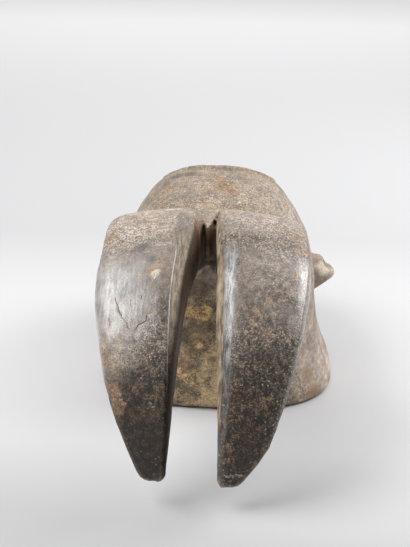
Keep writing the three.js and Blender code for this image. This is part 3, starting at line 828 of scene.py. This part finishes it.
# %% Lighter and darker
SHADES = [  # value, from, to, and how much light it leaves at either end
    (cloud, 0.36, 0.64, 0.91, 1.08),
    (broad_cloud, 0.36, 0.64, 0.86, 1.1),
    (grain, 0.35, 0.65, 0.95, 1.05),
    (marks["smoke"], 1.0, 1.6, 1.0, 0.5),
    (marks["grainy"], 0, 0.3, 1.13, 1.0),
]
clots = add(tree, "MapRange", [cloud, 0.46, 0.56, 0.12, -0.33], **SMOOTH)
in_soot = add(tree, "MapRange", [marks["smoke"], 0.6, 0.95], **SMOOTH)
shading = add(tree, "Math", [clots, in_soot, 1.0], operation="MULTIPLY_ADD")
for shade in SHADES:
    light = add(tree, "MapRange", shade, **SMOOTH)
    shading = add(tree, "Math", [shading, light], operation="MULTIPLY")
grey = add(tree, "CombineColor", [shading] * 3)
colour = add(tree, "Mix", [1.0, colour, grey], data_type="RGBA", blend_type="MULTIPLY")
print(len(SHADES) + 1, "kinds of light and dark")

# %% [markdown]
# ## Ochre, tarnish and umber
# Grease turned to ochre, grey tarnish and rust-brown umber lie in patches. Part of the grey
# is painted shade: on the top of the left horn's bevel beside the slot, and partly along the
# forehead's top edge. A round patch would look painted on, so the mottle and the clouds push
# its edge in and out.

# %% Stains with ragged edges
def stained(name, start=0.3, end=0.6):
    broken = add(tree, "Math", [mottle_swing, 0.7, marks[name]], operation="MULTIPLY_ADD")
    broken = add(tree, "Math", [cloud_swing, 0.6, broken], operation="MULTIPLY_ADD")
    broken = add(tree, "MapRange", [broken, start, end], **SMOOTH)
    there = add(tree, "MapRange", [marks[name], 0.02, 0.2], **SMOOTH)
    return add(tree, "Math", [broken, there], operation="MULTIPLY")


ochre = add(tree, "ValToRGB", [speckle], stops=[(0.42, "#5c4636"), (0.58, "#ab8e6f")])
patches = add(tree, "MapRange", [cloud, 0.54, 0.62], **SMOOTH)
off_soot = add(tree, "MapRange", [smoky, 0.9, 0.4], **SMOOTH)
gritty = add(tree, "MapRange", [marks["grainy"], 0, 0.6, 0.2, 0.4], **SMOOTH)
colour = laid_over(colour, ochre, patches, off_soot, gritty)
colour = laid_over(colour, ochre, stained("ochre", 0.22, 0.5), 0.85)
# grey tarnish, with painted shade on the left bevel's top and along the forehead's top edge
colour = laid_over(colour, "#2b2723", stained("tarnish"), 0.6)
rust_brown = add(tree, "MapRange", [fine, 0.42, 0.56, 0.7, 0.25], **SMOOTH)
colour = laid_over(colour, "#6a4529", stained("umber"), rust_brown)
print(len(tree.nodes), "nodes with the stains")

# %% [markdown]
# ## Pores and flecks
# Open pores hold soot and show as dark dots where the wood is gritty. Pale flecks are
# chipped grain and dried spots. Both are cells of a Voronoi pattern, thinned out by clouds.

# %% Dark pores and pale flecks
pore = add(tree, "MapRange", [cells["pores"], 0.42, 0.2], **SMOOTH)
open_grain = add(tree, "MapRange", [mottle, 0.44, 0.52], **SMOOTH)
pores = add(tree, "Math", [pore, open_grain], operation="MULTIPLY")
gritty = add(tree, "MapRange", [marks["grainy"], 0.3, 1, 0.2, 1.0], **SMOOTH)
pores = add(tree, "Math", [pores, gritty], operation="MULTIPLY")
colour = laid_over(colour, "#241c17", pores, 0.7)
fleck = add(tree, "MapRange", [cells["flecks"], 0.28, 0.12], **SMOOTH)
in_clouds = add(tree, "MapRange", [cloud, 0.47, 0.58], **SMOOTH)
colour = laid_over(colour, "#d6c9b6", fleck, in_clouds, marks["grainy"], 0.7)
print(len(tree.nodes), "nodes with pores and flecks")

# %% [markdown]
# ## Rubbed edges, dirt, and painted shade and light in the slot
# Edges are rubbed pale and hollows keep dirt, and a painted shadow lines the foot of the rim.
# The walls of the slot and the left bevel are painted dark as shade, the ledge between the
# roots and the gaps beside it are painted pale as light, and the lip of the slot shows
# streaky pale wood.

# %% What wear and dirt did, and the painted shade and light
rubbed_bare = add(tree, "MapRange", [mottle, 0.4, 0.55, 0.35, 1.0], **SMOOTH)
rubbed = add(tree, "Math", [marks["worn"], rubbed_bare], operation="MULTIPLY")
colour = laid_over(colour, "#a89d8f", rubbed, 0.6)
# dirt with the painted rim shadow, painted shade on the left bevel and in the slot, painted light on the
# ledge
DIRT_SHADE_AND_LIGHT = [
    ("dirt_and_rim_shade", "#2a221c", 0.6),
    ("dull_and_shaded", "#1d1612", 0.85),
    ("shade", "#3d2c21", 0.85),
    ("painted_ledge_light", "#857260", 0.95),
]
for name, code, strength in DIRT_SHADE_AND_LIGHT:
    colour = laid_over(colour, code, marks[name], strength)
lip_wood = add(tree, "ValToRGB", [streak], stops=[(0.38, "#71624f"), (0.6, "#bcab90")])
colour = laid_over(colour, lip_wood, marks["lip"], 0.85)
print(len(tree.nodes), "nodes with wear and dirt")

# %% [markdown]
# ## Burnished horn, and painted highlights
# The bevel on the right horn is burnished, and its highlight is painted into its colour as a
# streaky cool grey, like old pewter. The bulge of the left horn gets a painted highlight of
# the same cool grey. The sharp edge beside it gets a painted highlight: a thin pale line that
# comes and goes.

# %% Burnished bevel with its painted highlight, the painted glow and the painted bright line
# burnished bevel: a painted highlight of streaky cool grey
bevel_highlight = add(tree, "ValToRGB", [streak], stops=[(0.4, "#4a4949"), (0.6, "#a3a3a4")])
colour = laid_over(colour, bevel_highlight, marks["burnished_and_highlight"], 0.75)
# painted highlight: a cool pale grey on the bulge of the left horn
silky = add(tree, "Mix", [0.5, streak, cloud], data_type="FLOAT")
glow_highlight = add(tree, "ValToRGB", [silky], stops=[(0.4, "#7f7d7b"), (0.6, "#bfbdbb")])
between_clouds = add(tree, "MapRange", [cloud, 0.4, 0.6, 0.75, 0.3], **SMOOTH)
colour = laid_over(colour, glow_highlight, marks["painted_glow"], between_clouds)
# painted highlight: the thin pale line along the left horn's edge beside the slot
off_line = add(tree, "Math", [mottle_swing, 1.2, marks["off_arris"]], operation="MULTIPLY_ADD")
off_line = add(tree, "Math", [off_line], operation="ABSOLUTE")
arris_highlight = add(tree, "MapRange", [off_line, 0.5, 0.15], **SMOOTH)
broken_up = add(tree, "MapRange", [cloud, 0.4, 0.52, 0.4, 0.85], **SMOOTH)
handled = add(tree, "MapRange", [marks["polish"], 0.3, 1], **SMOOTH)
colour = laid_over(colour, "#b7b3af", arris_highlight, broken_up, handled)
print(len(tree.nodes), "nodes with the burnished horns")

# %% [markdown]
# ## Pale chips, golden grease and the raw inside
# A few chips show pale wood, and the same pale paint makes painted highlights on the crest
# of the left horn and, partly, on the top of the ear. Golden grease lies on the crown in a
# band and an arc. Inside, where no smoke or oil went, the wood is bare and brown.

# %% The last layers of colour
chipped = add(tree, "MapRange", [grit, 0.42, 0.54, 0.35, 0.8], **SMOOTH)
# pale chips, and the painted highlights on the left horn's crest and the ear's top
colour = laid_over(colour, "#d3c7b1", stained("pale", 0.3, 0.65), chipped)
golden = add(tree, "ValToRGB", [fine], stops=[(0.42, "#7d5f3c"), (0.5, "#d2a870"), (0.58, "#f0d39c")])
colour = laid_over(colour, golden, stained("gold", 0.2, 0.7), 0.85)
bare_wood = add(tree, "ValToRGB", [speckle], stops=[(0.4, "#4b382a"), (0.6, "#8b6d52")])
colour = laid_over(colour, bare_wood, marks["bare"], 0.8)
tree.links.new(colour, shader.inputs["Base Color"])
print(len(tree.nodes), "nodes with all its colours")

# %% [markdown]
# ## Sheen and feel
# Dusty wood is matt and handled wood is satin. Pores are rough, worn edges smoother. The
# speckle is also a height of a few tenths of a millimetre, and long silky streaks follow
# the knife where hands polished it.

# %% Roughness and bump
ROUGHER = [
    (mottle_swing, 0.6),
    (pores, 0.2),
    (rubbed, -0.15),
    (marks["dull_and_shaded"], 0.25),
    (marks["burnished_and_highlight"], -0.08),
]
rough = add(tree, "MapRange", [marks["polish"], 0, 1, 0.7, 0.4], **SMOOTH)
for part, share in ROUGHER:
    rough = add(tree, "Math", [part, share, rough], operation="MULTIPLY_ADD")
tree.links.new(rough, shader.inputs["Roughness"])
height = add(tree, "Math", [speckle, 1.12], operation="MULTIPLY")
height = add(tree, "Math", [pores, -0.48, height], operation="MULTIPLY_ADD")
knife_marks = add(tree, "MapRange", [marks["polish"], 0.3, 1, 0, 0.3], **SMOOTH)
height = add(tree, "Math", [streak, knife_marks, height], operation="MULTIPLY_ADD")
BUMP_HEIGHT = 0.0006
bump = add(tree, "Bump", {"Strength": 0.5, "Distance": BUMP_HEIGHT, "Height": height}, out="Normal")
tree.links.new(bump, shader.inputs["Normal"])
tree.links.new(bump, shader.inputs["Coat Normal"])
print("bump of", BUMP_HEIGHT * 1000, "mm")

# %% [markdown]
# Oil from many hands lies over the polished wood as a thin film, which the coat stands for.
# It is thinner on the dark specks and between the streaks, and missing wherever the wood is
# matt: in the slot, on the ledge, on the dull bevel and on the lip.

# %% A hand-rubbed film of oil
matt = marks["shade"]
for name in ("painted_ledge_light", "dull_and_shaded", "lip"):
    matt = add(tree, "Math", [matt, marks[name]], operation="MAXIMUM")
dry = add(tree, "MapRange", [matt, 0, 1, 0.5, 0.15], **SMOOTH)
tree.links.new(dry, shader.inputs["Specular IOR Level"])
OIL_FILM = [(streak, 0.35, 0.6, 0.5, 1.0), (matt, 0, 0.7, 1, 0), (speckle, 0.44, 0.52, 0.45, 1.0)]
oiled = marks["polish"]
for limits in OIL_FILM:
    held = add(tree, "MapRange", limits, **SMOOTH)
    oiled = add(tree, "Math", [oiled, held], operation="MULTIPLY")
tree.links.new(oiled, shader.inputs["Coat Weight"])
shader.inputs["Coat Roughness"].default_value = 0.22
shader.inputs["IOR"].default_value = 1.6
print(len(tree.nodes), "nodes in the wood")

# %% [markdown]
# ## Put the piece in its place
# The finished mask stands for the measured solid, rides on it, and must not be larger. Its points were
# clipped to the solid's box, and its size is measured at the end.

# %% Shade, hand over and measure the size
activate(mask)
bpy.ops.object.shade_smooth_by_angle(angle=math.radians(50))
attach(mask, "root")
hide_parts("mask")
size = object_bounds()
